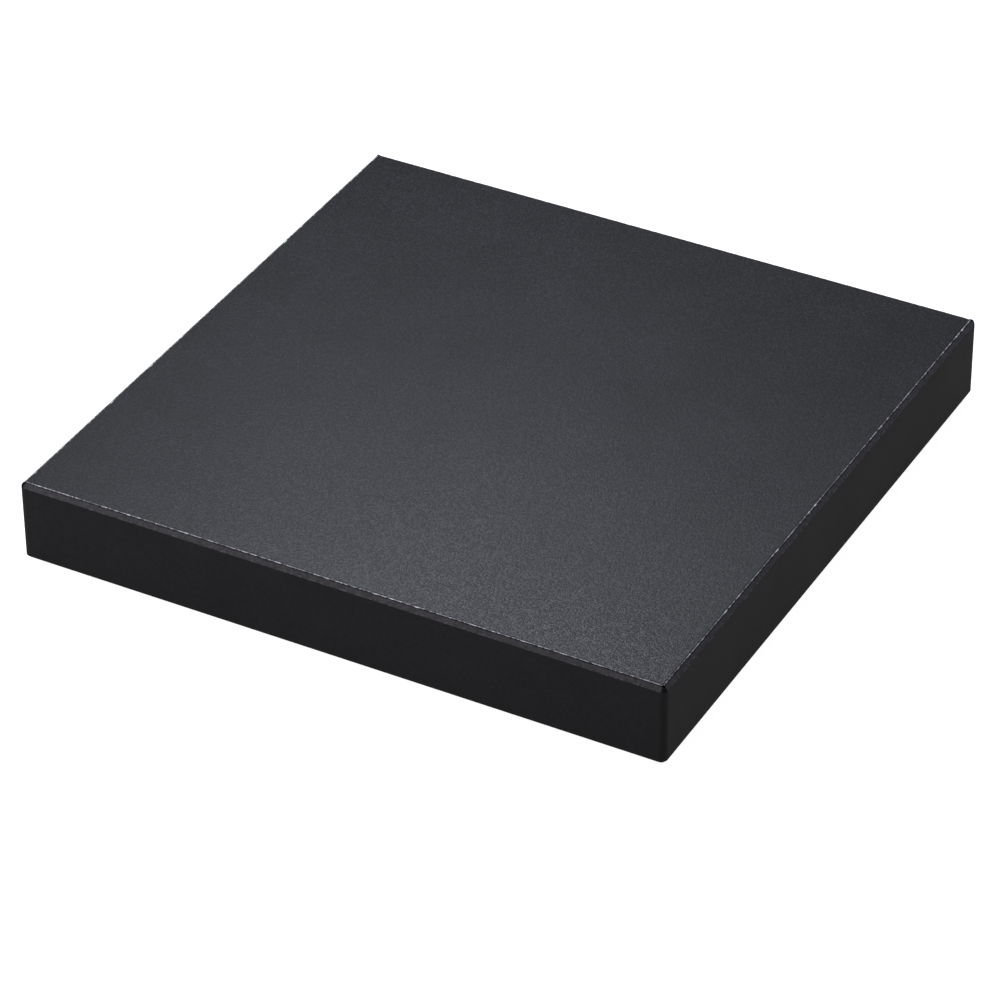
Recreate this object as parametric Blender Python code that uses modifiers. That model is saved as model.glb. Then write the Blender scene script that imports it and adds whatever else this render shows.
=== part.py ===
"""Granite tooling slab for leatherwork, standing on four stick-on rubber feet.

Metres, +Z up.  The origin is on the bench, under the middle of the slab: the
feet stand on Z = 0 and the slab's work face is its top.  -Y is the front.
Every foot is a moulded rubber bumper and the disc of adhesive foam that
holds it to the stone.
"""

import math

import bmesh
import bpy

OBJECT_NAME = "granite_slab_assembly"

# Slab, a 12 by 12 by 1 1/2 inch piece
SLAB_WIDTH = 0.3048
SLAB_DEPTH = 0.3048
SLAB_THICKNESS = 0.0381

# Edges of the slab
TOP_CHAMFER = 0.0023          # leg of the 45 degree chamfer ground round the work face
TOP_CORNER_RADIUS = 0.0007    # rounding that the work face keeps inside its chamfer
CORNER_SEGMENTS = 6
UNDERSIDE_ARRIS = 0.0008      # leg of the small bevel round the underside

# Rubber feet
FOOT_INSET = 0.032            # slab's side to the middle of a foot, both ways
FOOT_DIAMETER = 0.0200        # at the top, against the adhesive
FOOT_TAPER = 0.0008           # how much narrower the radius is at the bench
FOOT_HEIGHT = 0.0028
FOOT_EDGE_RADIUS = 0.0006
FOOT_EDGE_STEPS = 4
FOOT_DISH_DIAMETER = 0.0080   # shallow dish moulded in the middle of the sole
FOOT_DISH_DEPTH = 0.0005
FOOT_DISH_SLOPE = 0.0006

# Adhesive discs
ADHESIVE_THICKNESS = 0.0004
ADHESIVE_MARGIN = 0.0010      # bare rim of rubber left round a disc

ROUND_STEPS = 48              # sides of a turned piece
TOUCH_GAP = 0.0003            # kept between pieces that rest on each other
MERGE_DISTANCE = 0.00001

# Levels above the bench, from the sole up
ADHESIVE_BOTTOM = FOOT_HEIGHT + TOUCH_GAP
SLAB_BOTTOM = ADHESIVE_BOTTOM + ADHESIVE_THICKNESS + TOUCH_GAP

# Corner of the slab that each foot stands under: name, side in X, side in Y
FOOT_PLACES = (
    ("front_left", -1, -1),
    ("front_right", 1, -1),
    ("rear_left", -1, 1),
    ("rear_right", 1, 1),
)


def clear_scene():
    """Remove every object that the file opened with."""
    for item in list(bpy.data.objects):
        bpy.data.objects.remove(item, do_unlink=True)


def make_collection(name):
    """Collection that holds the object's pieces."""
    collection = bpy.data.collections.new(name)
    bpy.context.scene.collection.children.link(collection)
    return collection


def make_material(name, colour, roughness):
    """Plain non-metallic material of one linear colour."""
    material = bpy.data.materials.new(name)
    material.use_nodes = True
    shader = material.node_tree.nodes["Principled BSDF"]
    shader.inputs["Base Color"].default_value = (*colour, 1.0)
    shader.inputs["Roughness"].default_value = roughness
    shader.inputs["Metallic"].default_value = 0.0
    return material


def add_object(name, mesh, collection, material):
    """New object from a mesh, in the given collection and material."""
    piece = bpy.data.objects.new(name, mesh)
    collection.objects.link(piece)
    if not mesh.materials:
        mesh.materials.append(material)
    return piece


def upright_edges(bm):
    """The edges that stand vertical."""
    return [e for e in bm.edges if abs(e.verts[0].co.z - e.verts[1].co.z) > MERGE_DISTANCE]


def rim_edges(bm, level):
    """The edges round the flat face at the given height."""
    return [e for e in bm.edges if all(abs(v.co.z - level) < MERGE_DISTANCE for v in e.verts)]


def bevel(bm, edges, width, segments):
    """Bevel some edges: one segment is a flat chamfer, more make a round."""
    bmesh.ops.bevel(bm, geom=edges, offset=width, offset_type="OFFSET",
                    segments=segments, profile=0.5, affect="EDGES")


def build_slab(collection):
    """Sawn block with rounded corners, a ground top chamfer and a broken lower edge."""
    half_height = SLAB_THICKNESS / 2
    bm = bmesh.new()
    bmesh.ops.create_cube(bm, size=1.0)
    bmesh.ops.scale(bm, vec=(SLAB_WIDTH, SLAB_DEPTH, SLAB_THICKNESS), verts=bm.verts)
    bevel(bm, upright_edges(bm), TOP_CHAMFER + TOP_CORNER_RADIUS, CORNER_SEGMENTS)
    bevel(bm, rim_edges(bm, half_height), TOP_CHAMFER, 1)
    bevel(bm, rim_edges(bm, -half_height), UNDERSIDE_ARRIS, 1)

    mesh = bpy.data.meshes.new("granite_slab")
    bm.to_mesh(mesh)
    bm.free()
    mesh.shade_smooth()
    mesh.set_sharp_from_angle(angle=math.radians(30))
    stone = make_material("granite", (0.070, 0.071, 0.079), 0.45)
    slab = add_object("granite_slab", mesh, collection, stone)
    slab.location.z = SLAB_BOTTOM + half_height
    return slab


def foot_profile():
    """Outer side and sole of a foot, from the top's middle down to the dish's middle."""
    top_radius = FOOT_DIAMETER / 2
    sole_radius = top_radius - FOOT_TAPER
    dish_radius = FOOT_DISH_DIAMETER / 2
    points = [(0.0, FOOT_HEIGHT), (top_radius, FOOT_HEIGHT)]
    for step in range(FOOT_EDGE_STEPS + 1):
        angle = math.radians(90) * step / FOOT_EDGE_STEPS
        across = sole_radius - FOOT_EDGE_RADIUS * (1 - math.cos(angle))
        up = FOOT_EDGE_RADIUS * (1 - math.sin(angle))
        points.append((across, up))
    points.append((dish_radius, 0.0))
    points.append((dish_radius - FOOT_DISH_SLOPE, FOOT_DISH_DEPTH))
    points.append((0.0, FOOT_DISH_DEPTH))
    return points


def disc_profile(radius, bottom, thickness):
    """Half section of a plain disc, top to bottom."""
    top = bottom + thickness
    return [(0.0, top), (radius, top), (radius, bottom), (0.0, bottom)]


def profile_mesh(name, points):
    """Open line of points in the XZ plane, ready to be turned about Z."""
    bm = bmesh.new()
    verts = [bm.verts.new((across, 0.0, up)) for across, up in points]
    for first, second in zip(verts, verts[1:]):
        bm.edges.new((first, second))
    mesh = bpy.data.meshes.new(name)
    bm.to_mesh(mesh)
    bm.free()
    return mesh


def turn(piece):
    """Turn a profile about Z into a closed round solid."""
    screw = piece.modifiers.new("Turned about Z", "SCREW")
    screw.axis = "Z"
    screw.angle = math.radians(360)
    screw.steps = ROUND_STEPS
    screw.render_steps = ROUND_STEPS
    screw.use_merge_vertices = True
    screw.merge_threshold = MERGE_DISTANCE
    screw.use_smooth_shade = True


def build_feet(collection):
    """Four rubber feet, each with the adhesive disc above it."""
    rubber = make_material("rubber", (0.018, 0.018, 0.018), 0.75)
    adhesive = make_material("adhesive_foam", (0.60, 0.60, 0.58), 0.90)
    foot_mesh = profile_mesh("rubber_foot", foot_profile())
    disc_radius = FOOT_DIAMETER / 2 - ADHESIVE_MARGIN
    disc_outline = disc_profile(disc_radius, ADHESIVE_BOTTOM, ADHESIVE_THICKNESS)
    disc_mesh = profile_mesh("adhesive_disc", disc_outline)

    for place, side_x, side_y in FOOT_PLACES:
        x = side_x * (SLAB_WIDTH / 2 - FOOT_INSET)
        y = side_y * (SLAB_DEPTH / 2 - FOOT_INSET)
        foot = add_object(f"rubber_foot_{place}", foot_mesh, collection, rubber)
        disc = add_object(f"adhesive_disc_{place}", disc_mesh, collection, adhesive)
        for piece in (foot, disc):
            piece.location = (x, y, 0.0)
            turn(piece)


def main():
    clear_scene()
    pieces = make_collection(OBJECT_NAME)
    build_slab(pieces)
    build_feet(pieces)


if __name__ == "__main__":
    main()
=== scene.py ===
"""Granite tooling slab: honed stone with a chipped arris, moulded feet, and a plain studio."""

import math

import bpy
from bpy.props import FloatProperty, FloatVectorProperty, IntProperty, PointerProperty
from mathutils import Matrix, Vector


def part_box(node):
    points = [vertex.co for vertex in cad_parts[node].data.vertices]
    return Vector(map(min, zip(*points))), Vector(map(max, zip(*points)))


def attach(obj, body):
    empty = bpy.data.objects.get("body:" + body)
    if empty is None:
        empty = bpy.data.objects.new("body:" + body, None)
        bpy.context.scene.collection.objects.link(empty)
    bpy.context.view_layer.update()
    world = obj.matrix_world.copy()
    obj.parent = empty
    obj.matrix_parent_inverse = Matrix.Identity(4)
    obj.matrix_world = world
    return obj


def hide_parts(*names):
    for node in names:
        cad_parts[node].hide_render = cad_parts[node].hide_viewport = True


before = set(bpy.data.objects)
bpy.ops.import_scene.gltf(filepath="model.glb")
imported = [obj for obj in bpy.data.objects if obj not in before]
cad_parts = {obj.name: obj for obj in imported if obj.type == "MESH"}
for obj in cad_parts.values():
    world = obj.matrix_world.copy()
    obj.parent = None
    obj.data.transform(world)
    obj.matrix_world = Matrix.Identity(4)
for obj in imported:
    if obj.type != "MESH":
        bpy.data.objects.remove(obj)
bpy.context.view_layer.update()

bl_info = {
    "name": "Granite tooling slab",
    "version": (1, 0, 0),
    "blender": (4, 5, 0),
    "location": "3D Viewport > Sidebar > Granite slab",
    "description": "Honed granite slab with ground chamfers, rubber feet and a plain studio",
    "category": "Add Mesh",
}

MM = 0.001
LEVEL_TOLERANCE = 0.01 * MM
CORNERS = ("front_left", "front_right", "rear_left", "rear_right")
FILLET_POINTS = 24      # in each rounded plan corner, before the points are spaced evenly
FULL_ROUND = 0.9999     # corner radius of a round piece, as a share of half its width


# ---------------------------------------------------------------- sizes read from the CAD parts

def reach(node, level):
    """How far to the right a CAD node reaches at one height."""
    points = [v.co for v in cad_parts[node].data.vertices]
    return max(p.x for p in points if abs(p.z - level) < LEVEL_TOLERANCE)


def slab_corner_radius():
    """Rounding of the slab's upright corners, from where its front side's flat ends."""
    points = [v.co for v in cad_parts["granite_slab"].data.vertices]
    front = [p.x for p in points if abs(p.y - SLAB_LOW.y) < LEVEL_TOLERANCE]
    return SLAB_HIGH.x - max(front)


SLAB_LOW, SLAB_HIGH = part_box("granite_slab")
SLAB_SIZE = SLAB_HIGH - SLAB_LOW
SLAB_CHAMFER = SLAB_HIGH.x - reach("granite_slab", SLAB_HIGH.z)
SLAB_ARRIS = SLAB_HIGH.x - reach("granite_slab", SLAB_LOW.z)
SLAB_CORNER = slab_corner_radius()

FOOT_LOW, FOOT_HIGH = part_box("rubber_foot_front_right")
FOOT_CENTRE = (FOOT_LOW + FOOT_HIGH) / 2
FOOT_RADIUS = (FOOT_HIGH.x - FOOT_LOW.x) / 2
FOOT_SOLE = reach("rubber_foot_front_right", FOOT_LOW.z) - FOOT_CENTRE.x
DISC_LOW, DISC_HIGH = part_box("adhesive_disc_front_right")
DISC_RADIUS = (DISC_HIGH.x - DISC_LOW.x) / 2


# ---------------------------------------------------------------- colours and nodes

def linear(code):
    """Linear RGBA colour from an sRGB hex code."""
    channels = [int(code[i:i + 2], 16) / 255 for i in (1, 3, 5)]
    return tuple(c / 12.92 if c <= 0.04045 else ((c + 0.055) / 1.055) ** 2.4
                 for c in channels) + (1.0,)


def add_node(tree, kind, settings=None, inputs=None):
    """Add a node, set its properties, then fill its inputs with values or links."""
    node = tree.nodes.new(kind)
    for name, value in (settings or {}).items():
        setattr(node, name, value)
    for key, value in (inputs or {}).items():
        if isinstance(value, bpy.types.NodeSocket):
            tree.links.new(value, node.inputs[key])
        else:
            node.inputs[key].default_value = value
    return node


# ---------------------------------------------------------------- settings

class SlabSettings(bpy.types.PropertyGroup):
    """Sizes of the slab's edge work, and the stone's colours."""

    point_spacing: FloatProperty(
        name="Point spacing", description="Distance between points round the slab's edges",
        default=0.30 * MM, min=0.1 * MM, unit="LENGTH", subtype="DISTANCE")
    ease: FloatProperty(
        name="Ease", description="Rounding where the chamfer meets the sides",
        default=0.20 * MM, min=0.0, unit="LENGTH", subtype="DISTANCE")
    break_width: FloatProperty(
        name="Break width", description="Width of the broken line along the work face's edge",
        default=0.54 * MM, min=0.0, unit="LENGTH", subtype="DISTANCE")
    chip_depth: FloatProperty(
        name="Chip depth", description="Depth of the deepest chips in the work face's edge",
        default=0.30 * MM, min=0.0, unit="LENGTH", subtype="DISTANCE")
    chip_length: FloatProperty(
        name="Chip length", description="Usual length of a chip along the edge",
        default=1.6 * MM, min=0.1 * MM, unit="LENGTH", subtype="DISTANCE")
    seed: IntProperty(name="Seed", description="Which pattern of chips is drawn", default=4)
    stone: FloatVectorProperty(
        name="Stone", description="Middle colour of the honed work face",
        default=linear("#232325"), size=4, subtype="COLOR", min=0.0, max=1.0)
    crystal: FloatVectorProperty(
        name="Pale crystals", description="Colour of the feldspar flakes in the work face",
        default=linear("#3d3d41"), size=4, subtype="COLOR", min=0.0, max=1.0)
    sawn: FloatVectorProperty(
        name="Sides", description="Colour of the slab's sides",
        default=linear("#1d1c1e"), size=4, subtype="COLOR", min=0.0, max=1.0)
    # Partly painted sheen: the chamfer has no gloss, and this pale colour stands in for it as well
    # as for the grey of ground stone.
    ground: FloatVectorProperty(
        name="Chamfer", description="Colour of the ground chamfer",
        default=linear("#413f42"), size=4, subtype="COLOR", min=0.0, max=1.0)
    # Partly painted highlight: the fresh break's pale colour also stands in for the glint along
    # the edge.
    broken: FloatVectorProperty(
        name="Fresh break", description="Colour of freshly broken stone along the edge",
        default=linear("#b9bbc2"), size=4, subtype="COLOR", min=0.0, max=1.0)
    underside: FloatVectorProperty(
        name="Underside", description="Colour of the sawn underside",
        default=linear("#3d3e40"), size=4, subtype="COLOR", min=0.0, max=1.0)


class FootSettings(bpy.types.PropertyGroup):
    """Sizes and colours of the stick-on feet."""

    groove_depth: FloatProperty(
        name="Groove depth", description="Depth of the rings moulded into the sole",
        default=0.25 * MM, min=0.0, unit="LENGTH", subtype="DISTANCE")
    rubber: FloatVectorProperty(
        name="Rubber", description="Colour of the moulded rubber",
        default=linear("#191919"), size=4, subtype="COLOR", min=0.0, max=1.0)
    foam: FloatVectorProperty(
        name="Adhesive foam", description="Colour of the adhesive disc",
        default=linear("#c9c6bd"), size=4, subtype="COLOR", min=0.0, max=1.0)


class StageSettings(bpy.types.PropertyGroup):
    """Floor, lights and camera of the studio."""

    floor: FloatVectorProperty(
        name="Floor", description="Colour of the paper floor",
        default=linear("#a0a0a0"), size=4, subtype="COLOR", min=0.0, max=1.0)
    glow: FloatProperty(
        name="Glow", description="Light that comes up through the floor, as on a light table",
        default=0.96, min=0.0)
    surround: FloatProperty(
        name="Surround", description="Brightness of the room around the lights",
        default=0.12, min=0.0)
    lens: FloatProperty(
        name="Lens", description="Focal length of the camera", default=170.0,
        min=1.0, unit="CAMERA")


# ---------------------------------------------------------------- swept sections

class Station:
    """One corner of a piece's section, which the sweep carries round the plan outline.

    inset is how far it lies inside the outline and height is its height over the bench. chip is
    how a full chip moves it inwards and up, as shares of the chip depth, and corner is how the
    softened plan corners move it, in metres. finish is the band below it.
    """

    def __init__(self, name, inset, height, chip=(0.0, 0.0), corner=(0.0, 0.0), finish=None):
        self.name = name
        self.inset = inset
        self.height = height
        self.chip = chip
        self.corner = corner
        self.finish = finish


def add_input(tree, name, kind, default, subtype="NONE"):
    """Add a named input to a geometry tree."""
    socket = tree.interface.new_socket(name=name, in_out="INPUT", socket_type=kind)
    if subtype != "NONE":
        socket.subtype = subtype
    socket.default_value = default
    return socket


def chip_field(tree, outline, group):
    """Depth of the chips round the edge, 0 to 1: many small nicks and a few longer scoops."""
    seed = add_node(tree, "ShaderNodeCombineXYZ", inputs={2: group.outputs["Seed"]})
    shifted = add_node(tree, "ShaderNodeVectorMath", {"operation": "ADD"},
                       {0: outline, 1: seed.outputs[0]})
    per_metre = add_node(tree, "ShaderNodeMath", {"operation": "DIVIDE"},
                         {0: 1.0, 1: group.outputs["Chip Length"]})
    nicks = add_node(tree, "ShaderNodeTexNoise", {"noise_dimensions": "3D"},
                     {"Vector": shifted.outputs[0], "Scale": per_metre.outputs[0],
                      "Detail": 3.0, "Roughness": 0.65})
    nick_depth = add_node(tree, "ShaderNodeMapRange", {"interpolation_type": "SMOOTHSTEP"},
                          {"Value": nicks.outputs[0], "From Min": 0.36, "From Max": 0.66})
    sparse = add_node(tree, "ShaderNodeMath", {"operation": "MULTIPLY"},
                      {0: per_metre.outputs[0], 1: 0.24})
    scoops = add_node(tree, "ShaderNodeTexVoronoi", {"voronoi_dimensions": "3D"},
                      {"Vector": shifted.outputs[0], "Scale": sparse.outputs[0]})
    scoop_depth = add_node(tree, "ShaderNodeMapRange", {"interpolation_type": "SMOOTHSTEP"},
                           {"Value": scoops.outputs["Distance"], "From Min": 0.28,
                            "From Max": 0.12})
    nick_share = add_node(tree, "ShaderNodeMath", {"operation": "MULTIPLY"},
                          {0: nick_depth.outputs[0], 1: 0.5})
    return add_node(tree, "ShaderNodeMath", {"operation": "MAXIMUM"},
                    {0: nick_share.outputs[0], 1: scoop_depth.outputs[0]}).outputs[0]


def swept_section_tree(name, stations, finishes):
    """Geometry tree that sweeps a section round a rounded rectangle, capped at both ends."""
    tree = bpy.data.node_groups.new(name, "GeometryNodeTree")
    add_input(tree, "Width", "NodeSocketFloat", 0.1, "DISTANCE")
    add_input(tree, "Depth", "NodeSocketFloat", 0.1, "DISTANCE")
    add_input(tree, "Corner Radius", "NodeSocketFloat", 0.01, "DISTANCE")
    add_input(tree, "Point Spacing", "NodeSocketFloat", 0.001, "DISTANCE")
    add_input(tree, "Place", "NodeSocketVector", (0.0, 0.0, 0.0))
    add_input(tree, "Chip Depth", "NodeSocketFloat", 0.0, "DISTANCE")
    add_input(tree, "Chip Length", "NodeSocketFloat", 0.001, "DISTANCE")
    add_input(tree, "Seed", "NodeSocketInt", 0)
    for station in stations:
        add_input(tree, f"{station.name} inset", "NodeSocketFloat", station.inset, "DISTANCE")
        add_input(tree, f"{station.name} height", "NodeSocketFloat", station.height, "DISTANCE")
    tree.interface.new_socket(name="Mesh", in_out="OUTPUT", socket_type="NodeSocketGeometry")
    group = add_node(tree, "NodeGroupInput")

    # Plan outline with a point every spacing, and the way out from the piece at each point
    frame_curve = add_node(tree, "GeometryNodeCurvePrimitiveQuadrilateral", {"mode": "RECTANGLE"},
                           {"Width": group.outputs["Width"], "Height": group.outputs["Depth"]})
    rounded = add_node(tree, "GeometryNodeFilletCurve", {"mode": "POLY"},
                       {"Curve": frame_curve.outputs[0], "Count": FILLET_POINTS,
                        "Radius": group.outputs["Corner Radius"]})
    pointed = add_node(tree, "GeometryNodeResampleCurve", {"mode": "LENGTH"},
                       {"Curve": rounded.outputs[0], "Length": group.outputs["Point Spacing"]})
    cap = add_node(tree, "GeometryNodeFillCurve", {"mode": "NGONS"}, {"Curve": pointed.outputs[0]})
    position = add_node(tree, "GeometryNodeInputPosition")
    full_size = add_node(tree, "ShaderNodeCombineXYZ",
                         inputs={0: group.outputs["Width"], 1: group.outputs["Depth"]})
    half_size = add_node(tree, "ShaderNodeVectorMath", {"operation": "SCALE"},
                         {0: full_size.outputs[0], "Scale": 0.5})
    radius = add_node(tree, "ShaderNodeCombineXYZ",
                      inputs={0: group.outputs["Corner Radius"],
                              1: group.outputs["Corner Radius"]})
    core = add_node(tree, "ShaderNodeVectorMath", {"operation": "SUBTRACT"},
                    {0: half_size.outputs[0], 1: radius.outputs[0]})
    core_low = add_node(tree, "ShaderNodeVectorMath", {"operation": "SCALE"},
                        {0: core.outputs[0], "Scale": -1.0})
    above = add_node(tree, "ShaderNodeVectorMath", {"operation": "MAXIMUM"},
                     {0: position.outputs[0], 1: core_low.outputs[0]})
    inside = add_node(tree, "ShaderNodeVectorMath", {"operation": "MINIMUM"},
                      {0: above.outputs[0], 1: core.outputs[0]})
    away = add_node(tree, "ShaderNodeVectorMath", {"operation": "SUBTRACT"},
                    {0: position.outputs[0], 1: inside.outputs[0]})
    outward = add_node(tree, "ShaderNodeVectorMath", {"operation": "NORMALIZE"},
                       {0: away.outputs[0]})
    stored_outline = add_node(tree, "GeometryNodeStoreNamedAttribute",
                              {"data_type": "FLOAT_VECTOR", "domain": "POINT"},
                              {"Geometry": cap.outputs[0], "Name": "outline",
                               "Value": position.outputs[0]})
    stored_outward = add_node(tree, "GeometryNodeStoreNamedAttribute",
                              {"data_type": "FLOAT_VECTOR", "domain": "POINT"},
                              {"Geometry": stored_outline.outputs[0], "Name": "outward",
                               "Value": outward.outputs[0]})
    outline_field = add_node(tree, "GeometryNodeInputNamedAttribute",
                             {"data_type": "FLOAT_VECTOR"}, {"Name": "outline"}).outputs[0]
    outward_field = add_node(tree, "GeometryNodeInputNamedAttribute",
                             {"data_type": "FLOAT_VECTOR"}, {"Name": "outward"}).outputs[0]
    stored_chip = add_node(tree, "GeometryNodeStoreNamedAttribute",
                           {"data_type": "FLOAT", "domain": "POINT"},
                           {"Geometry": stored_outward.outputs[0], "Name": "chip",
                            "Value": chip_field(tree, outline_field, group)})
    chip = add_node(tree, "GeometryNodeInputNamedAttribute",
                    {"data_type": "FLOAT"}, {"Name": "chip"}).outputs[0]
    chip_size = add_node(tree, "ShaderNodeMath", {"operation": "MULTIPLY"},
                         {0: chip, 1: group.outputs["Chip Depth"]}).outputs[0]

    # How squarely a point faces a plan corner, and how far along its side it lies
    facing = add_node(tree, "ShaderNodeVectorMath", {"operation": "MULTIPLY"},
                      {0: outward_field, 1: outward_field})
    share = add_node(tree, "ShaderNodeSeparateXYZ", inputs={0: facing.outputs[0]})
    both = add_node(tree, "ShaderNodeMath", {"operation": "MULTIPLY"},
                    {0: share.outputs[0], 1: share.outputs[1]})
    cornered = add_node(tree, "ShaderNodeMath", {"operation": "MULTIPLY", "use_clamp": True},
                        {0: both.outputs[0], 1: 4.0})
    across = add_node(tree, "ShaderNodeCombineXYZ", inputs={0: share.outputs[1],
                                                            1: share.outputs[0]})
    along = add_node(tree, "ShaderNodeVectorMath", {"operation": "DOT_PRODUCT"},
                     {0: outline_field, 1: across.outputs[0]})
    stored_corner = add_node(tree, "GeometryNodeStoreNamedAttribute",
                             {"data_type": "FLOAT", "domain": "POINT"},
                             {"Geometry": stored_chip.outputs[0], "Name": "corner",
                              "Value": cornered.outputs[0]})
    stored_along = add_node(tree, "GeometryNodeStoreNamedAttribute",
                            {"data_type": "FLOAT", "domain": "POINT"},
                            {"Geometry": stored_corner.outputs[0], "Name": "along",
                             "Value": along.outputs["Value"]})
    corner = add_node(tree, "GeometryNodeInputNamedAttribute",
                      {"data_type": "FLOAT"}, {"Name": "corner"}).outputs[0]

    # Each station lifts a new band off the last one and puts its rim where the section says
    solid = stored_along.outputs[0]
    rim = True
    bottom = None
    for station in stations:
        if bottom is not None:
            lifted = add_node(tree, "GeometryNodeExtrudeMesh", {"mode": "FACES"},
                              {"Mesh": solid, "Selection": rim, "Offset Scale": MM,
                               "Individual": False})
            solid = lifted.outputs["Mesh"]
            rim = lifted.outputs["Top"]
            painted = add_node(tree, "GeometryNodeSetMaterial",
                               inputs={"Geometry": solid, "Selection": lifted.outputs["Side"],
                                       "Material": finishes[station.finish]})
            solid = painted.outputs[0]
        softened_in = add_node(tree, "ShaderNodeMath", {"operation": "MULTIPLY_ADD"},
                               {0: corner, 1: station.corner[0],
                                2: group.outputs[f"{station.name} inset"]})
        softened_up = add_node(tree, "ShaderNodeMath", {"operation": "MULTIPLY_ADD"},
                               {0: corner, 1: station.corner[1],
                                2: group.outputs[f"{station.name} height"]})
        chip_in = add_node(tree, "ShaderNodeMath", {"operation": "MULTIPLY_ADD"},
                           {0: chip_size, 1: station.chip[0], 2: softened_in.outputs[0]})
        chip_up = add_node(tree, "ShaderNodeMath", {"operation": "MULTIPLY_ADD"},
                           {0: chip_size, 1: station.chip[1], 2: softened_up.outputs[0]})
        moved_in = add_node(tree, "ShaderNodeMath", {"operation": "MULTIPLY"},
                            {0: chip_in.outputs[0], 1: -1.0})
        inset = add_node(tree, "ShaderNodeVectorMath", {"operation": "SCALE"},
                         {0: outward_field, "Scale": moved_in.outputs[0]})
        in_plan = add_node(tree, "ShaderNodeVectorMath", {"operation": "ADD"},
                           {0: outline_field, 1: inset.outputs[0]})
        height = add_node(tree, "ShaderNodeCombineXYZ", inputs={2: chip_up.outputs[0]})
        raised = add_node(tree, "ShaderNodeVectorMath", {"operation": "ADD"},
                          {0: in_plan.outputs[0], 1: height.outputs[0]})
        solid = add_node(tree, "GeometryNodeSetPosition",
                         inputs={"Geometry": solid, "Selection": rim,
                                 "Position": raised.outputs[0]}).outputs[0]
        if bottom is None:
            turned = add_node(tree, "GeometryNodeFlipFaces", inputs={"Mesh": solid})
            bottom = add_node(tree, "GeometryNodeSetMaterial",
                              inputs={"Geometry": turned.outputs[0],
                                      "Material": finishes["bottom"]}).outputs[0]
    capped = add_node(tree, "GeometryNodeSetMaterial",
                      inputs={"Geometry": solid, "Selection": rim, "Material": finishes["top"]})

    joined = add_node(tree, "GeometryNodeJoinGeometry")
    tree.links.new(bottom, joined.inputs[0])
    tree.links.new(capped.outputs[0], joined.inputs[0])
    welded = add_node(tree, "GeometryNodeMergeByDistance",
                      inputs={"Geometry": joined.outputs[0], "Distance": 0.001 * MM})
    tidied = welded
    for name in ("outline", "outward"):
        tidied = add_node(tree, "GeometryNodeRemoveAttribute",
                          inputs={"Geometry": tidied.outputs[0], "Name": name})
    placed = add_node(tree, "GeometryNodeSetPosition",
                      inputs={"Geometry": tidied.outputs[0], "Offset": group.outputs["Place"]})
    real = add_node(tree, "GeometryNodeRealizeInstances", inputs={0: placed.outputs[0]})
    add_node(tree, "NodeGroupOutput", inputs={"Mesh": real.outputs[0]})
    return tree


def sweep(name, tree, sizes, smooth_angle):
    """Run a swept-section tree with the given named sizes and keep the result as a plain mesh."""
    host = bpy.data.objects.new(name, bpy.data.meshes.new(name))
    bpy.context.scene.collection.objects.link(host)
    modifier = host.modifiers.new("Swept section", "NODES")
    modifier.node_group = tree
    identifiers = {item.name: item.identifier for item in tree.interface.items_tree
                   if item.in_out == "INPUT"}
    for key, value in sizes.items():
        modifier[identifiers[key]] = value
    depsgraph = bpy.context.evaluated_depsgraph_get()
    mesh = bpy.data.meshes.new_from_object(host.evaluated_get(depsgraph), depsgraph=depsgraph)
    host.modifiers.remove(modifier)
    host.data = mesh
    mesh.name = name
    if not mesh.polygons:
        raise RuntimeError(f"{name}: the swept section came out empty")
    mesh.shade_smooth()
    mesh.set_sharp_from_angle(angle=math.radians(smooth_angle))
    return host


# ---------------------------------------------------------------- materials

def new_material(name, **inputs):
    """Material with a Principled shader whose plain values are set on its own sockets."""
    material = bpy.data.materials.new(name)
    material.use_nodes = True
    tree = material.node_tree
    shader = tree.nodes["Principled BSDF"]
    for key, value in inputs.items():
        shader.inputs[key.replace("_", " ")].default_value = value
    return material, tree, shader


def crystal_pattern(tree, grain, warp):
    """Interlocking grains: the place they are drawn at, and a random shade for each of them."""
    place = add_node(tree, "ShaderNodeTexCoord").outputs["Object"]
    drift = add_node(tree, "ShaderNodeTexNoise", inputs={"Vector": place, "Scale": 0.6 / grain,
                                                         "Detail": 2.0})
    centred = add_node(tree, "ShaderNodeVectorMath", {"operation": "SUBTRACT"},
                       {0: drift.outputs["Color"], 1: (0.5, 0.5, 0.5)})
    amount = add_node(tree, "ShaderNodeVectorMath", {"operation": "SCALE"},
                      {0: centred.outputs[0], "Scale": warp})
    warped = add_node(tree, "ShaderNodeVectorMath", {"operation": "ADD"},
                      {0: place, 1: amount.outputs[0]}).outputs[0]
    cells = add_node(tree, "ShaderNodeTexVoronoi", {"feature": "SMOOTH_F1"},
                     {"Vector": warped, "Scale": 1 / grain, "Smoothness": 0.35})
    shade = add_node(tree, "ShaderNodeSeparateColor", inputs={0: cells.outputs["Color"]})
    return place, shade.outputs[0]


def finish_shader(tree, shader, colour, shade, rough, height, depth, strength=1.0):
    """Give the shader a colour times a shade, a roughness, and a relief so many metres deep."""
    tinted = add_node(tree, "ShaderNodeVectorMath", {"operation": "SCALE"},
                      {0: colour, "Scale": shade})
    bump = add_node(tree, "ShaderNodeBump",
                    inputs={"Strength": strength, "Distance": depth, "Height": height})
    tree.links.new(tinted.outputs[0], shader.inputs["Base Color"])
    tree.links.new(rough, shader.inputs["Roughness"])
    tree.links.new(bump.outputs[0], shader.inputs["Normal"])


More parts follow.
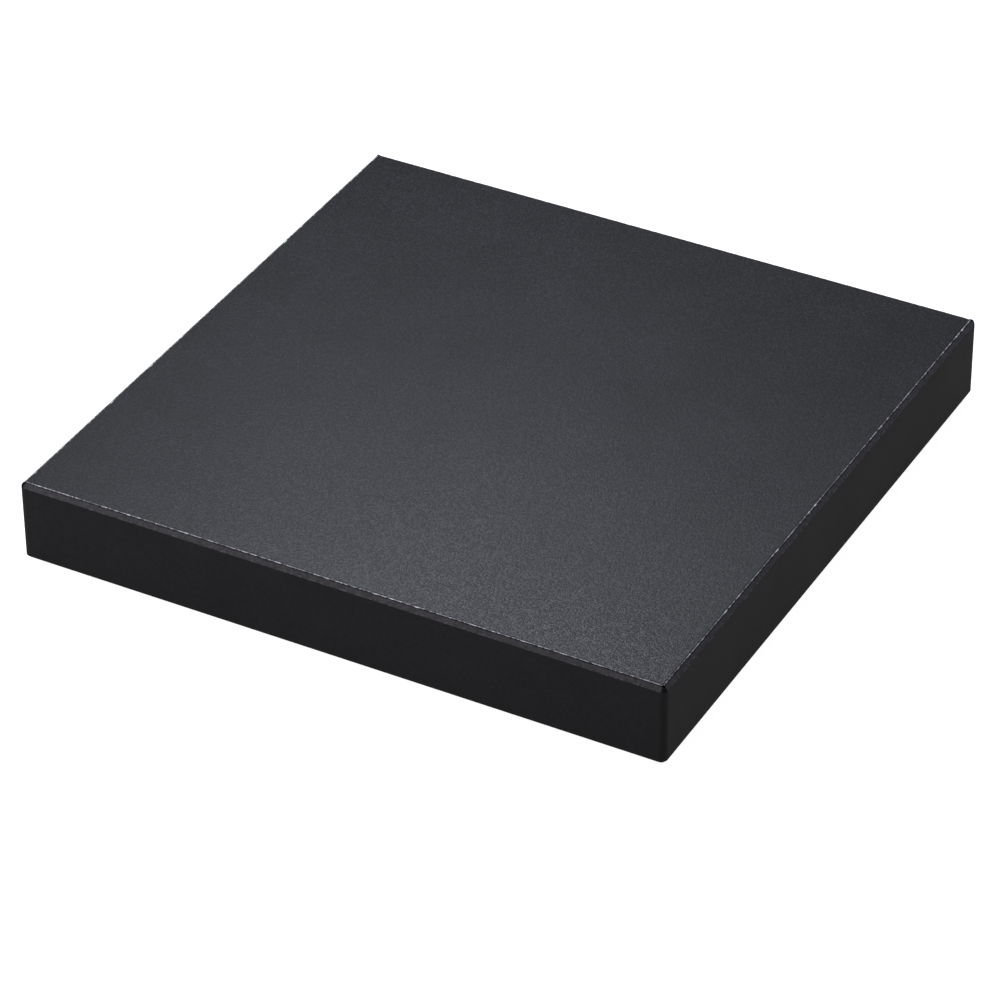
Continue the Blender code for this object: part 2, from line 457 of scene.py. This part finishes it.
def honed_black_granite(slab):
    """Black fine-grained granite honed on a lapping plate: a satin face with a pebbled grain.

    The crystals stand a few hundredths of a millimetre proud of the softer mineral between them,
    and each one takes the hone a little differently. So the soft reflection breaks up into a fine
    even grain, with a few paler feldspar flakes. Crystals are a little under a millimetre across,
    and the finest ones, too small to show, are drawn at that size too.
    """
    material, tree, shader = new_material("honed_black_granite", IOR=1.54,
                                          Specular_IOR_Level=0.17)
    grain_size, fine_size, cloud_size = 0.8 * MM, 0.55 * MM, 45 * MM
    place = add_node(tree, "ShaderNodeTexCoord").outputs["Object"]
    cells = add_node(tree, "ShaderNodeTexVoronoi", {"voronoi_dimensions": "2D"},
                     {"Vector": place, "Scale": 1 / grain_size, "Randomness": 0.85})
    shade = add_node(tree, "ShaderNodeSeparateColor", inputs={0: cells.outputs["Color"]})
    clouds = add_node(tree, "ShaderNodeTexNoise",
                      inputs={"Vector": place, "Scale": 1 / cloud_size, "Detail": 4.0,
                              "Roughness": 0.6})
    fine = add_node(tree, "ShaderNodeTexNoise",
                    inputs={"Vector": place, "Scale": 1 / fine_size, "Detail": 1.0})
    dome = add_node(tree, "ShaderNodeMath", {"operation": "MULTIPLY"},
                    {0: cells.outputs["Distance"], 1: cells.outputs["Distance"]})
    height = add_node(tree, "ShaderNodeMath", {"operation": "MULTIPLY_ADD"},
                      {0: dome.outputs[0], 1: -1.6, 2: fine.outputs[0]})
    mixed = add_node(tree, "ShaderNodeMath", {"operation": "MULTIPLY_ADD"},
                     {0: shade.outputs[0], 1: 0.7, 2: height.outputs[0]})
    grain = add_node(tree, "ShaderNodeMapRange",
                     inputs={"Value": mixed.outputs[0], "From Min": 0.15, "From Max": 1.25})
    body = add_node(tree, "ShaderNodeValToRGB", inputs={0: grain.outputs[0]})
    ramp = body.color_ramp
    stone, flake = Vector(slab.stone[:3]), Vector(slab.crystal[:3])
    ramp.elements[0].position = 0.0
    ramp.elements[0].color = (*(stone * 0.5), 1.0)
    ramp.elements[1].position = 1.0
    ramp.elements[1].color = (*flake, 1.0)
    for stop, colour in ((0.5, stone), (0.75, stone * 1.4)):
        ramp.elements.new(stop).color = (*colour, 1.0)
    cloud_shade = add_node(tree, "ShaderNodeMapRange",
                           inputs={"Value": clouds.outputs[0], "From Min": 0.3, "From Max": 0.7,
                                   "To Min": 0.88, "To Max": 1.12})
    satin = add_node(tree, "ShaderNodeMapRange",
                     inputs={"Value": grain.outputs[0], "From Min": 0.15, "From Max": 0.85,
                             "To Min": 0.56, "To Max": 0.30})
    finish_shader(tree, shader, body.outputs[0], cloud_shade.outputs[0], satin.outputs[0],
                  height.outputs[0], 0.060 * MM)
    return material


def ground_granite(slab):
    """Granite ground with a coarse stone: a greyer, duller band than the honed face.

    The wheel ran along the edge, so faint marks follow it. Tiny chips show pale along the lower
    edge. The band has no gloss, so its pale colour is partly ground stone and partly painted
    sheen.
    It is painted darker just under the broken line and round the softened corners, painted shade,
    and a shade lighter in its lower part, a faint painted highlight.
    """
    material, tree, shader = new_material("ground_granite", IOR=1.54, Specular_IOR_Level=0.0)
    place, shade = crystal_pattern(tree, 1.0 * MM, 0.8 * MM)
    along = add_node(tree, "ShaderNodeAttribute", {"attribute_name": "along"}).outputs["Fac"]
    corner = add_node(tree, "ShaderNodeAttribute", {"attribute_name": "corner"}).outputs["Fac"]
    level = add_node(tree, "ShaderNodeSeparateXYZ", inputs={0: place}).outputs[2]
    marks_at = add_node(tree, "ShaderNodeCombineXYZ", inputs={0: along, 1: level})
    marks_stretched = add_node(tree, "ShaderNodeVectorMath", {"operation": "MULTIPLY"},
                               {0: marks_at.outputs[0], 1: (1 / (5 * MM), 1 / (0.35 * MM), 0.0)})
    marks = add_node(tree, "ShaderNodeTexNoise", {"noise_dimensions": "2D"},
                     {"Vector": marks_stretched.outputs[0], "Scale": 1.0, "Detail": 2.0})
    patches = add_node(tree, "ShaderNodeTexNoise",
                       inputs={"Vector": place, "Scale": 1 / (2.2 * MM), "Detail": 3.0})
    mixed = add_node(tree, "ShaderNodeMath", {"operation": "MULTIPLY_ADD"},
                     {0: shade, 1: 0.6, 2: patches.outputs[0]})
    mottled = add_node(tree, "ShaderNodeMath", {"operation": "MULTIPLY_ADD"},
                       {0: marks.outputs[0], 1: 0.6, 2: mixed.outputs[0]})
    body = add_node(tree, "ShaderNodeMapRange",
                    inputs={"Value": mottled.outputs[0], "From Min": 0.75, "From Max": 1.5,
                            "To Min": 0.80, "To Max": 1.3})
    share = add_node(tree, "ShaderNodeMapRange",
                     inputs={"Value": level, "From Min": SLAB_HIGH.z - SLAB_CHAMFER,
                             "From Max": SLAB_HIGH.z})
    # Painted shade: the band is painted much darker just under the broken line, and a shade
    # lighter in its lower part, a faint painted highlight.
    band = add_node(tree, "ShaderNodeValToRGB", inputs={0: share.outputs[0]})
    painted_light_steps = band.color_ramp
    painted_light_steps.elements[0].position = 0.0
    painted_light_steps.elements[0].color = (1.0, 1.0, 1.0, 1.0)
    painted_light_steps.elements[1].position = 0.80
    painted_light_steps.elements[1].color = (0.25, 0.25, 0.25, 1.0)
    for stop, amount in ((0.24, 1.05), (0.66, 1.0)):
        painted_light_steps.elements.new(stop).color = (amount, amount, amount, 1.0)
    nicked = add_node(tree, "ShaderNodeMapRange",
                      inputs={"Value": share.outputs[0], "From Min": 0.22, "From Max": 0.10})
    speck = add_node(tree, "ShaderNodeMapRange",
                     inputs={"Value": mixed.outputs[0], "From Min": 0.85, "From Max": 1.15,
                             "To Max": 0.6})
    nicks = add_node(tree, "ShaderNodeMath", {"operation": "MULTIPLY"},
                     {0: nicked.outputs[0], 1: speck.outputs[0]})
    banded = add_node(tree, "ShaderNodeMath", {"operation": "MULTIPLY_ADD"},
                      {0: body.outputs[0], 1: band.outputs[0], 2: nicks.outputs[0]})
    # Painted shade: the band is painted darker round the plan corners, where the rounded stone
    # looks dark.
    painted_corner_shade = add_node(tree, "ShaderNodeMapRange",
                        inputs={"Value": corner, "From Min": 0.05, "From Max": 0.6,
                                "To Min": 1.0, "To Max": 0.2})
    amount = add_node(tree, "ShaderNodeMath", {"operation": "MULTIPLY"},
                      {0: banded.outputs[0], 1: painted_corner_shade.outputs[0]})
    rough = add_node(tree, "ShaderNodeMapRange",
                     inputs={"Value": patches.outputs[0], "To Min": 0.66, "To Max": 0.86})
    finish_shader(tree, shader, tuple(slab.ground[:3]), amount.outputs[0], rough.outputs[0],
                  mottled.outputs[0], 0.07 * MM)
    return material


def broken_granite(slab):
    """Granite where crystals have snapped off the edge: pale and rough. Its pale colour is partly
    fresh broken stone and partly a painted highlight for the glint along the edge. Its brighter
    crystals are painted glitter, and it is painted darker round the plan corners, painted shade.
    """
    material, tree, shader = new_material("broken_granite", IOR=1.54,
                                          Specular_IOR_Level=0.1)
    shade = crystal_pattern(tree, 0.8 * MM, 0.4 * MM)[1]
    chip = add_node(tree, "ShaderNodeAttribute", {"attribute_name": "chip"}).outputs["Fac"]
    corner = add_node(tree, "ShaderNodeAttribute", {"attribute_name": "corner"}).outputs["Fac"]
    worn = add_node(tree, "ShaderNodeMapRange",
                    inputs={"Value": chip, "From Min": 0.0, "From Max": 0.5,
                            "To Min": 0.22, "To Max": 0.85})
    # Brighter crystals here are painted glitter, as well as the grain's own tone.
    grain_and_glitter = add_node(tree, "ShaderNodeMath", {"operation": "MULTIPLY_ADD"},
                   {0: shade, 1: 0.9, 2: 0.45})
    fresh = add_node(tree, "ShaderNodeMath", {"operation": "MULTIPLY"},
                     {0: worn.outputs[0], 1: grain_and_glitter.outputs[0]})
    # Painted shade: the broken line is painted darker round the plan corners.
    painted_corner_shade = add_node(tree, "ShaderNodeMapRange",
                        inputs={"Value": corner, "From Min": 0.05, "From Max": 0.5,
                                "To Min": 1.0, "To Max": 0.12})
    amount = add_node(tree, "ShaderNodeMath", {"operation": "MULTIPLY"},
                      {0: fresh.outputs[0], 1: painted_corner_shade.outputs[0]})
    rough = add_node(tree, "ShaderNodeMapRange",
                     inputs={"Value": shade, "To Min": 0.30, "To Max": 0.60})
    finish_shader(tree, shader, tuple(slab.broken[:3]), amount.outputs[0], rough.outputs[0],
                  shade, 0.10 * MM)
    return material


def sawn_granite_side(slab):
    """Granite sawn and rubbed down: almost no grain and hardly any gloss. Its colour is a little
    darker than the work face's, and it is painted darker round the plan corners, painted shade.
    """
    material, tree, shader = new_material("sawn_granite_side", IOR=1.54, Specular_IOR_Level=0.04)
    place, shade = crystal_pattern(tree, 1.1 * MM, 0.8 * MM)
    clouds = add_node(tree, "ShaderNodeTexNoise",
                      inputs={"Vector": place, "Scale": 1 / (30 * MM), "Detail": 4.0})
    mixed = add_node(tree, "ShaderNodeMath", {"operation": "MULTIPLY_ADD"},
                     {0: shade, 1: 0.35, 2: clouds.outputs[0]})
    body = add_node(tree, "ShaderNodeMapRange",
                    inputs={"Value": mixed.outputs[0], "From Min": 0.4, "From Max": 1.0,
                            "To Min": 0.85, "To Max": 1.18})
    # Painted shade: the sides are painted a little darker round the plan corners.
    corner = add_node(tree, "ShaderNodeAttribute", {"attribute_name": "corner"}).outputs["Fac"]
    painted_corner_shade = add_node(tree, "ShaderNodeMapRange",
                        inputs={"Value": corner, "From Max": 0.9, "To Min": 1.0, "To Max": 0.9})
    amount = add_node(tree, "ShaderNodeMath", {"operation": "MULTIPLY"},
                      {0: body.outputs[0], 1: painted_corner_shade.outputs[0]})
    rough = add_node(tree, "ShaderNodeMapRange",
                     inputs={"Value": clouds.outputs[0], "To Min": 0.62, "To Max": 0.78})
    finish_shader(tree, shader, tuple(slab.sawn[:3]), amount.outputs[0], rough.outputs[0],
                  shade, 0.012 * MM)
    return material


def sawn_granite_underside(slab):
    """Granite as the gang saw leaves it: grey, dusty, with long shallow blade marks."""
    material, tree, shader = new_material("sawn_granite_underside", IOR=1.54,
                                          Specular_IOR_Level=0.25)
    place, shade = crystal_pattern(tree, 1.2 * MM, 0.9 * MM)
    blade_pitch = 12.083 * MM
    marks = add_node(tree, "ShaderNodeTexWave",
                     {"wave_type": "BANDS", "bands_direction": "X"},
                     {"Vector": place, "Scale": math.tau / (20 * blade_pitch),
                      "Distortion": 2.0, "Detail": 3.0,
                      "Detail Scale": 1.5})
    clouds = add_node(tree, "ShaderNodeTexNoise",
                      inputs={"Vector": place, "Scale": 1 / (50 * MM), "Detail": 5.0})
    mixed = add_node(tree, "ShaderNodeMath", {"operation": "MULTIPLY_ADD"},
                     {0: shade, 1: 0.5, 2: clouds.outputs[0]})
    body = add_node(tree, "ShaderNodeMapRange",
                    inputs={"Value": mixed.outputs[0], "From Min": 0.4, "From Max": 1.1,
                            "To Min": 0.75, "To Max": 1.3})
    rough = add_node(tree, "ShaderNodeMapRange",
                     inputs={"Value": clouds.outputs[0], "To Min": 0.75, "To Max": 0.92})
    height = add_node(tree, "ShaderNodeMath", {"operation": "MULTIPLY_ADD"},
                      {0: shade, 1: 0.3, 2: marks.outputs["Fac"]})
    finish_shader(tree, shader, tuple(slab.underside[:3]), body.outputs[0], rough.outputs[0],
                  height.outputs[0], 0.06 * MM, strength=0.8)
    return material


def moulded_rubber(feet):
    """Black moulded rubber from a spark-eroded mould: matt, with a fine even tooth and dust."""
    material, tree, shader = new_material("moulded_rubber", IOR=1.5, Specular_IOR_Level=0.35)
    place = add_node(tree, "ShaderNodeTexCoord").outputs["Object"]
    tooth = add_node(tree, "ShaderNodeTexNoise",
                     inputs={"Vector": place, "Scale": 1 / (0.25 * MM), "Detail": 2.0})
    dust = add_node(tree, "ShaderNodeTexNoise",
                    inputs={"Vector": place, "Scale": 1 / (4 * MM), "Detail": 5.0})
    body = add_node(tree, "ShaderNodeMapRange",
                    inputs={"Value": dust.outputs[0], "From Min": 0.35, "From Max": 0.75,
                            "To Min": 0.9, "To Max": 1.7})
    rough = add_node(tree, "ShaderNodeMapRange",
                     inputs={"Value": dust.outputs[0], "To Min": 0.55, "To Max": 0.8})
    finish_shader(tree, shader, tuple(feet.rubber[:3]), body.outputs[0], rough.outputs[0],
                  tooth.outputs[0], 0.03 * MM, strength=0.7)
    return material


def acrylic_foam(feet):
    """Acrylic adhesive foam: off-white, with open cells along its cut edge."""
    material, tree, shader = new_material("acrylic_foam", IOR=1.48, Specular_IOR_Level=0.3)
    place = add_node(tree, "ShaderNodeTexCoord").outputs["Object"]
    cells = add_node(tree, "ShaderNodeTexVoronoi",
                     inputs={"Vector": place, "Scale": 1 / (0.30 * MM)})
    body = add_node(tree, "ShaderNodeMapRange",
                    inputs={"Value": cells.outputs["Distance"], "From Max": 0.7,
                            "To Min": 0.72, "To Max": 1.0})
    rough = add_node(tree, "ShaderNodeMapRange",
                     inputs={"Value": cells.outputs["Distance"], "To Min": 0.7, "To Max": 0.95})
    finish_shader(tree, shader, tuple(feet.foam[:3]), body.outputs[0], rough.outputs[0],
                  cells.outputs["Distance"], 0.05 * MM)
    return material


def floor_paper(stage):
    """Matt white background paper: an even pale floor with the faintest tooth. It glows by the
    stage's glow, painted light that keeps it white where the slab shades it.
    """
    # Painted light: the floor glows, so the slab's shadow on it hardly shows.
    material, tree, shader = new_material(
        "floor_paper", Specular_IOR_Level=0.0, Roughness=1.0,
        Emission_Color=(1.0, 1.0, 1.0, 1.0), Emission_Strength=stage.glow)
    place = add_node(tree, "ShaderNodeTexCoord").outputs["Object"]
    fibres = add_node(tree, "ShaderNodeTexNoise",
                      inputs={"Vector": place, "Scale": 1 / (2.5 * MM), "Detail": 3.0})
    body = add_node(tree, "ShaderNodeMapRange",
                    inputs={"Value": fibres.outputs[0], "To Min": 0.99, "To Max": 1.01})
    tinted = add_node(tree, "ShaderNodeVectorMath", {"operation": "SCALE"},
                      {0: tuple(stage.floor[:3]), "Scale": body.outputs[0]})
    tree.links.new(tinted.outputs[0], shader.inputs["Base Color"])
    return material


# ---------------------------------------------------------------- pieces

def slab_stations(slab):
    """The slab's section, from its underside up to the work face.

    The chamfer is flat along the sides. Round the plan corners it swells into a quarter round,
    and the work face's own corners are worn back a little. Its rim stays short of the centre that
    the plan corners turn about, so that no corner folds over.
    """
    top, bottom = SLAB_HIGH.z, SLAB_LOW.z
    chamfer, ease = SLAB_CHAMFER, slab.ease
    strip = slab.break_width
    strip_leg = strip * math.sqrt(0.5)
    head = top - chamfer
    inner = chamfer + 0.75 * (SLAB_CORNER - chamfer)
    worn = 0.35 * MM

    def on_chamfer(share):
        """Inset and height on the chamfer, and the move from there onto the quarter round."""
        angle = math.radians(90) * share
        place = (chamfer * share, head + chamfer * share)
        return place, (chamfer * (1 - math.cos(angle) - share),
                       chamfer * (math.sin(angle) - share))

    low, low_round = on_chamfer(0.30)
    middle, middle_round = on_chamfer(0.55)
    high, high_round = on_chamfer(1 - 0.75 * strip_leg / chamfer)
    return [
        Station("Underside rim", SLAB_ARRIS, bottom),
        Station("Side foot", 0.0, bottom + SLAB_ARRIS, finish="ground"),
        Station("Side shoulder", 0.0, head - 2 * ease, finish="side"),
        Station("Side head", 0.0, head - ease, finish="side"),
        Station("Ease low", ease * 0.09, head - ease * 0.38, (0.15, 0.0), finish="side"),
        Station("Ease high", ease * 0.38, head + ease * 0.38, (0.2, -0.2), finish="ground"),
        Station("Chamfer low", *low, corner=low_round, finish="ground"),
        Station("Chamfer middle", *middle, corner=middle_round, finish="ground"),
        Station("Break low", *high, (-0.5, -0.5), high_round, "ground"),
        Station("Break crest", chamfer, top - 0.18 * strip, (0.6, -0.6), (worn, 0.0), "break"),
        Station("Break high", chamfer + 0.45 * strip, top, (0.9, 0.0), (worn, 0.0), "face"),
        Station("Work face rim", inner + 0.5 * worn, top, corner=(worn, 0.0), finish="face"),
    ]


class GRANITE_OT_slab(bpy.types.Operator):
    """Make the granite slab, with its chamfer, chipped edge, sides and underside"""

    bl_idname = "granite.make_slab"
    bl_label = "Granite slab"

    def execute(self, context):
        slab = context.scene.granite_slab
        side = sawn_granite_side(slab)
        face = honed_black_granite(slab)
        finishes = {
            "face": face,
            "top": face,
            "ground": ground_granite(slab),
            "break": broken_granite(slab),
            "side": side,
            "bottom": sawn_granite_underside(slab),
        }
        stations = slab_stations(slab)
        tree = swept_section_tree("Slab section", stations, finishes)
        sizes = {
            "Width": SLAB_SIZE.x,
            "Depth": SLAB_SIZE.y,
            "Corner Radius": SLAB_CORNER,
            "Point Spacing": slab.point_spacing,
            "Chip Depth": slab.chip_depth,
            "Chip Length": slab.chip_length,
            "Seed": slab.seed,
        }
        piece = sweep("honed_granite_slab", tree, sizes, smooth_angle=28)
        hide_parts("granite_slab")
        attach(piece, "root")
        return {"FINISHED"}


# Sole of a foot: its middle dish, its moulded rings by their inner radius, and its rounded edge
DISH_RADIUS = 4.0 * MM
GROOVE_RADII = (4.9 * MM, 6.3 * MM, 7.7 * MM)
GROOVE_WIDTH = 0.5 * MM
GROOVE_SLOPE = 0.12 * MM
SOLE_ROUND = 0.6 * MM


def foot_stations(feet):
    """A foot's section, from the dish in its sole out to the rim and up its tapered side."""
    height = FOOT_HIGH.z
    sole = FOOT_RADIUS - FOOT_SOLE
    groove = feet.groove_depth
    stations = [
        Station("Dish floor", FOOT_RADIUS - DISH_RADIUS + 0.8 * MM, 0.45 * MM),
        Station("Dish side", FOOT_RADIUS - DISH_RADIUS + 0.3 * MM, 0.30 * MM, finish="rubber"),
        Station("Dish rim", FOOT_RADIUS - DISH_RADIUS, 0.0, finish="rubber"),
    ]
    for number, radius in enumerate(GROOVE_RADII, start=1):
        inner, outer = FOOT_RADIUS - radius, FOOT_RADIUS - radius - GROOVE_WIDTH
        stations += [
            Station(f"Groove {number} inner lip", inner, 0.0, finish="rubber"),
            Station(f"Groove {number} inner floor", inner - GROOVE_SLOPE, groove, finish="rubber"),
            Station(f"Groove {number} outer floor", outer + GROOVE_SLOPE, groove, finish="rubber"),
            Station(f"Groove {number} outer lip", outer, 0.0, finish="rubber"),
        ]
    stations.append(Station("Sole edge", sole, 0.0, finish="rubber"))
    for number, angle in enumerate((30, 60, 90), start=1):
        turn = math.radians(angle)
        stations.append(Station(f"Edge round {number}",
                                sole - SOLE_ROUND * math.sin(turn),
                                SOLE_ROUND * (1 - math.cos(turn)), finish="rubber"))
    stations += [
        Station("Parting line low", 0.20 * MM, height - 0.55 * MM, finish="rubber"),
        Station("Parting lip", 0.0, height - 0.50 * MM, finish="rubber"),
        Station("Parting lip top", 0.0, height - 0.38 * MM, finish="rubber"),
        Station("Parting line high", 0.12 * MM, height - 0.33 * MM, finish="rubber"),
        Station("Top edge", 0.14 * MM, height - 0.10 * MM, finish="rubber"),
        Station("Top rim", 0.24 * MM, height, finish="rubber"),
    ]
    return stations


class GRANITE_OT_feet(bpy.types.Operator):
    """Make the four moulded rubber feet"""

    bl_idname = "granite.make_feet"
    bl_label = "Rubber feet"

    def execute(self, context):
        feet = context.scene.granite_feet
        rubber = moulded_rubber(feet)
        finishes = {"rubber": rubber, "top": rubber, "bottom": rubber}
        tree = swept_section_tree("Foot section", foot_stations(feet), finishes)
        for corner in CORNERS:
            low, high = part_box(f"rubber_foot_{corner}")
            middle = (low + high) / 2
            sizes = {
                "Width": 2 * FOOT_RADIUS,
                "Depth": 2 * FOOT_RADIUS,
                "Corner Radius": FOOT_RADIUS * FULL_ROUND,
                "Point Spacing": 0.45 * MM,
                "Place": (middle.x, middle.y, 0.0),
            }
            piece = sweep(f"moulded_foot_{corner}", tree, sizes, smooth_angle=35)
            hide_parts(f"rubber_foot_{corner}")
            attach(piece, "root")
        return {"FINISHED"}


def disc_stations():
    """An adhesive disc's section: it fills the space between the foot and the stone."""
    clearance = 0.02 * MM
    bottom, top = FOOT_HIGH.z + clearance, SLAB_LOW.z - clearance
    return [
        Station("Lower face", 0.25 * MM, bottom),
        Station("Lower edge", 0.12 * MM, bottom + 0.12 * MM, (1.0, 0.0), finish="foam"),
        Station("Middle", 0.0, (bottom + top) / 2, (1.0, 0.0), finish="foam"),
        Station("Upper edge", 0.08 * MM, top - 0.15 * MM, (1.0, 0.0), finish="foam"),
        Station("Upper face", 0.20 * MM, top, finish="foam"),
    ]


class GRANITE_OT_discs(bpy.types.Operator):
    """Make the adhesive foam discs that hold the feet to the stone"""

    bl_idname = "granite.make_discs"
    bl_label = "Adhesive discs"

    def execute(self, context):
        feet = context.scene.granite_feet
        foam = acrylic_foam(feet)
        finishes = {"foam": foam, "top": foam, "bottom": foam}
        tree = swept_section_tree("Disc section", disc_stations(), finishes)
        for number, corner in enumerate(CORNERS):
            low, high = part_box(f"adhesive_disc_{corner}")
            middle = (low + high) / 2
            sizes = {
                "Width": 2 * DISC_RADIUS,
                "Depth": 2 * DISC_RADIUS,
                "Corner Radius": DISC_RADIUS * FULL_ROUND,
                "Point Spacing": 0.30 * MM,
                "Place": (middle.x, middle.y, 0.0),
                "Chip Depth": 0.10 * MM,
                "Chip Length": 0.9 * MM,
                "Seed": number,
            }
            piece = sweep(f"foam_disc_{corner}", tree, sizes, smooth_angle=40)
            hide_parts(f"adhesive_disc_{corner}")
            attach(piece, "root")
        return {"FINISHED"}


# ---------------------------------------------------------------- studio

COOL_WHITE = (0.95, 0.98, 1.09)
PLAIN_WHITE = (1.0, 1.0, 1.0)

# Area lights: name, the point it shines at, direction it stands in (azimuth and elevation in
# degrees), distance and the two sides in metres, power in watts, colour
LIGHTS = (
    ("rear_softbox", (-0.03, -0.13, 0.04), 206.0, 55.0, 0.5, 0.26, 0.20, 1.8, COOL_WHITE),
    ("back_softbox", (0.0, -0.10, 0.04), 190.0, 60.0, 0.8, 0.40, 0.30, 3.1, COOL_WHITE),
    ("front_left_softbox", (0.0, 0.0, 0.02), -50.0, 35.0, 1.2, 0.80, 0.60, 7.5, PLAIN_WHITE),
)

# The camera: the point it looks at, where it stands from there, and its tilt about its own line
CAMERA_AIM = Vector((-0.0003, -0.0085, -0.0066))
CAMERA_AZIMUTH = 28.68
CAMERA_ELEVATION = 35.22
CAMERA_ROLL = -0.43
CAMERA_DISTANCE = 2.0565
FLOOR_HALF = 8.0


def direction(azimuth, elevation):
    """Unit vector from the slab; azimuth 0 is the front, growing towards the right."""
    turn, lift = math.radians(azimuth), math.radians(elevation)
    return Vector((math.sin(turn) * math.cos(lift), -math.cos(turn) * math.cos(lift),
                   math.sin(lift)))


def add_softbox(name, aim, azimuth, elevation, distance, width, height, power, colour):
    """Rectangular area light that faces a point, unseen by the camera itself."""
    lamp = bpy.data.lights.new(name, "AREA")
    lamp.shape = "RECTANGLE"
    lamp.size = width
    lamp.size_y = height
    lamp.energy = power
    lamp.color = colour
    item = bpy.data.objects.new(name, lamp)
    bpy.context.scene.collection.objects.link(item)
    away = direction(azimuth, elevation)
    item.location = Vector(aim) + away * distance
    item.rotation_euler = away.to_track_quat("Z", "Y").to_euler()
    item.visible_camera = False


def add_camera(lens):
    """Camera on the slab, from the front right and above."""
    data = bpy.data.cameras.new("studio_camera")
    data.lens = lens
    data.sensor_width = 36.0
    data.clip_end = 100.0
    camera = bpy.data.objects.new("studio_camera", data)
    bpy.context.scene.collection.objects.link(camera)
    back = direction(CAMERA_AZIMUTH, CAMERA_ELEVATION)
    turn = math.radians(CAMERA_AZIMUTH)
    right = Vector((math.cos(turn), math.sin(turn), 0.0))
    up = back.cross(right)
    facing = Matrix((right, up, back)).transposed()
    roll = Matrix.Rotation(math.radians(CAMERA_ROLL), 3, "Z")
    camera.matrix_world = (facing @ roll).to_4x4()
    camera.location = CAMERA_AIM + back * CAMERA_DISTANCE
    bpy.context.scene.camera = camera


class GRANITE_OT_stage(bpy.types.Operator):
    """Make the floor, the room's light, the softboxes and the camera"""

    bl_idname = "granite.make_stage"
    bl_label = "Studio stage"

    def execute(self, context):
        stage = context.scene.granite_stage
        bpy.ops.mesh.primitive_plane_add(size=2 * FLOOR_HALF)
        floor = context.object
        floor.name = "paper_floor"
        floor.data.materials.append(floor_paper(stage))

        world = bpy.data.worlds.new("Studio surround")
        world.use_nodes = True
        background = world.node_tree.nodes["Background"]
        background.inputs["Color"].default_value = (*PLAIN_WHITE, 1.0)
        seen = add_node(world.node_tree, "ShaderNodeLightPath").outputs["Is Camera Ray"]
        strength = add_node(world.node_tree, "ShaderNodeMapRange",
                            inputs={"Value": seen, "To Min": stage.surround, "To Max": 1.0})
        world.node_tree.links.new(strength.outputs[0], background.inputs["Strength"])
        context.scene.world = world
        for row in LIGHTS:
            add_softbox(*row)
        add_camera(stage.lens)
        context.scene.view_settings.view_transform = "Standard"
        return {"FINISHED"}


class GRANITE_PT_panel(bpy.types.Panel):
    """Sidebar panel that lists the pieces and their settings"""

    bl_idname = "GRANITE_PT_panel"
    bl_label = "Granite slab"
    bl_space_type = "VIEW_3D"
    bl_region_type = "UI"
    bl_category = "Granite slab"

    def draw(self, context):
        layout = self.layout
        groups = (
            (context.scene.granite_slab, (GRANITE_OT_slab,)),
            (context.scene.granite_feet, (GRANITE_OT_feet, GRANITE_OT_discs)),
            (context.scene.granite_stage, (GRANITE_OT_stage,)),
        )
        for settings, operators in groups:
            box = layout.box()
            for name in settings.__annotations__:
                box.prop(settings, name)
            for operator in operators:
                box.operator(operator.bl_idname)


CLASSES = (SlabSettings, FootSettings, StageSettings, GRANITE_OT_slab, GRANITE_OT_feet,
           GRANITE_OT_discs, GRANITE_OT_stage, GRANITE_PT_panel)


def register():
    for item in CLASSES:
        bpy.utils.register_class(item)
    bpy.types.Scene.granite_slab = PointerProperty(type=SlabSettings)
    bpy.types.Scene.granite_feet = PointerProperty(type=FootSettings)
    bpy.types.Scene.granite_stage = PointerProperty(type=StageSettings)


def unregister():
    del bpy.types.Scene.granite_stage
    del bpy.types.Scene.granite_feet
    del bpy.types.Scene.granite_slab
    for item in reversed(CLASSES):
        bpy.utils.unregister_class(item)


def main():
    register()
    bpy.ops.granite.make_stage()
    bpy.ops.granite.make_slab()
    bpy.ops.granite.make_feet()
    bpy.ops.granite.make_discs()


if __name__ == "__main__":
    main()
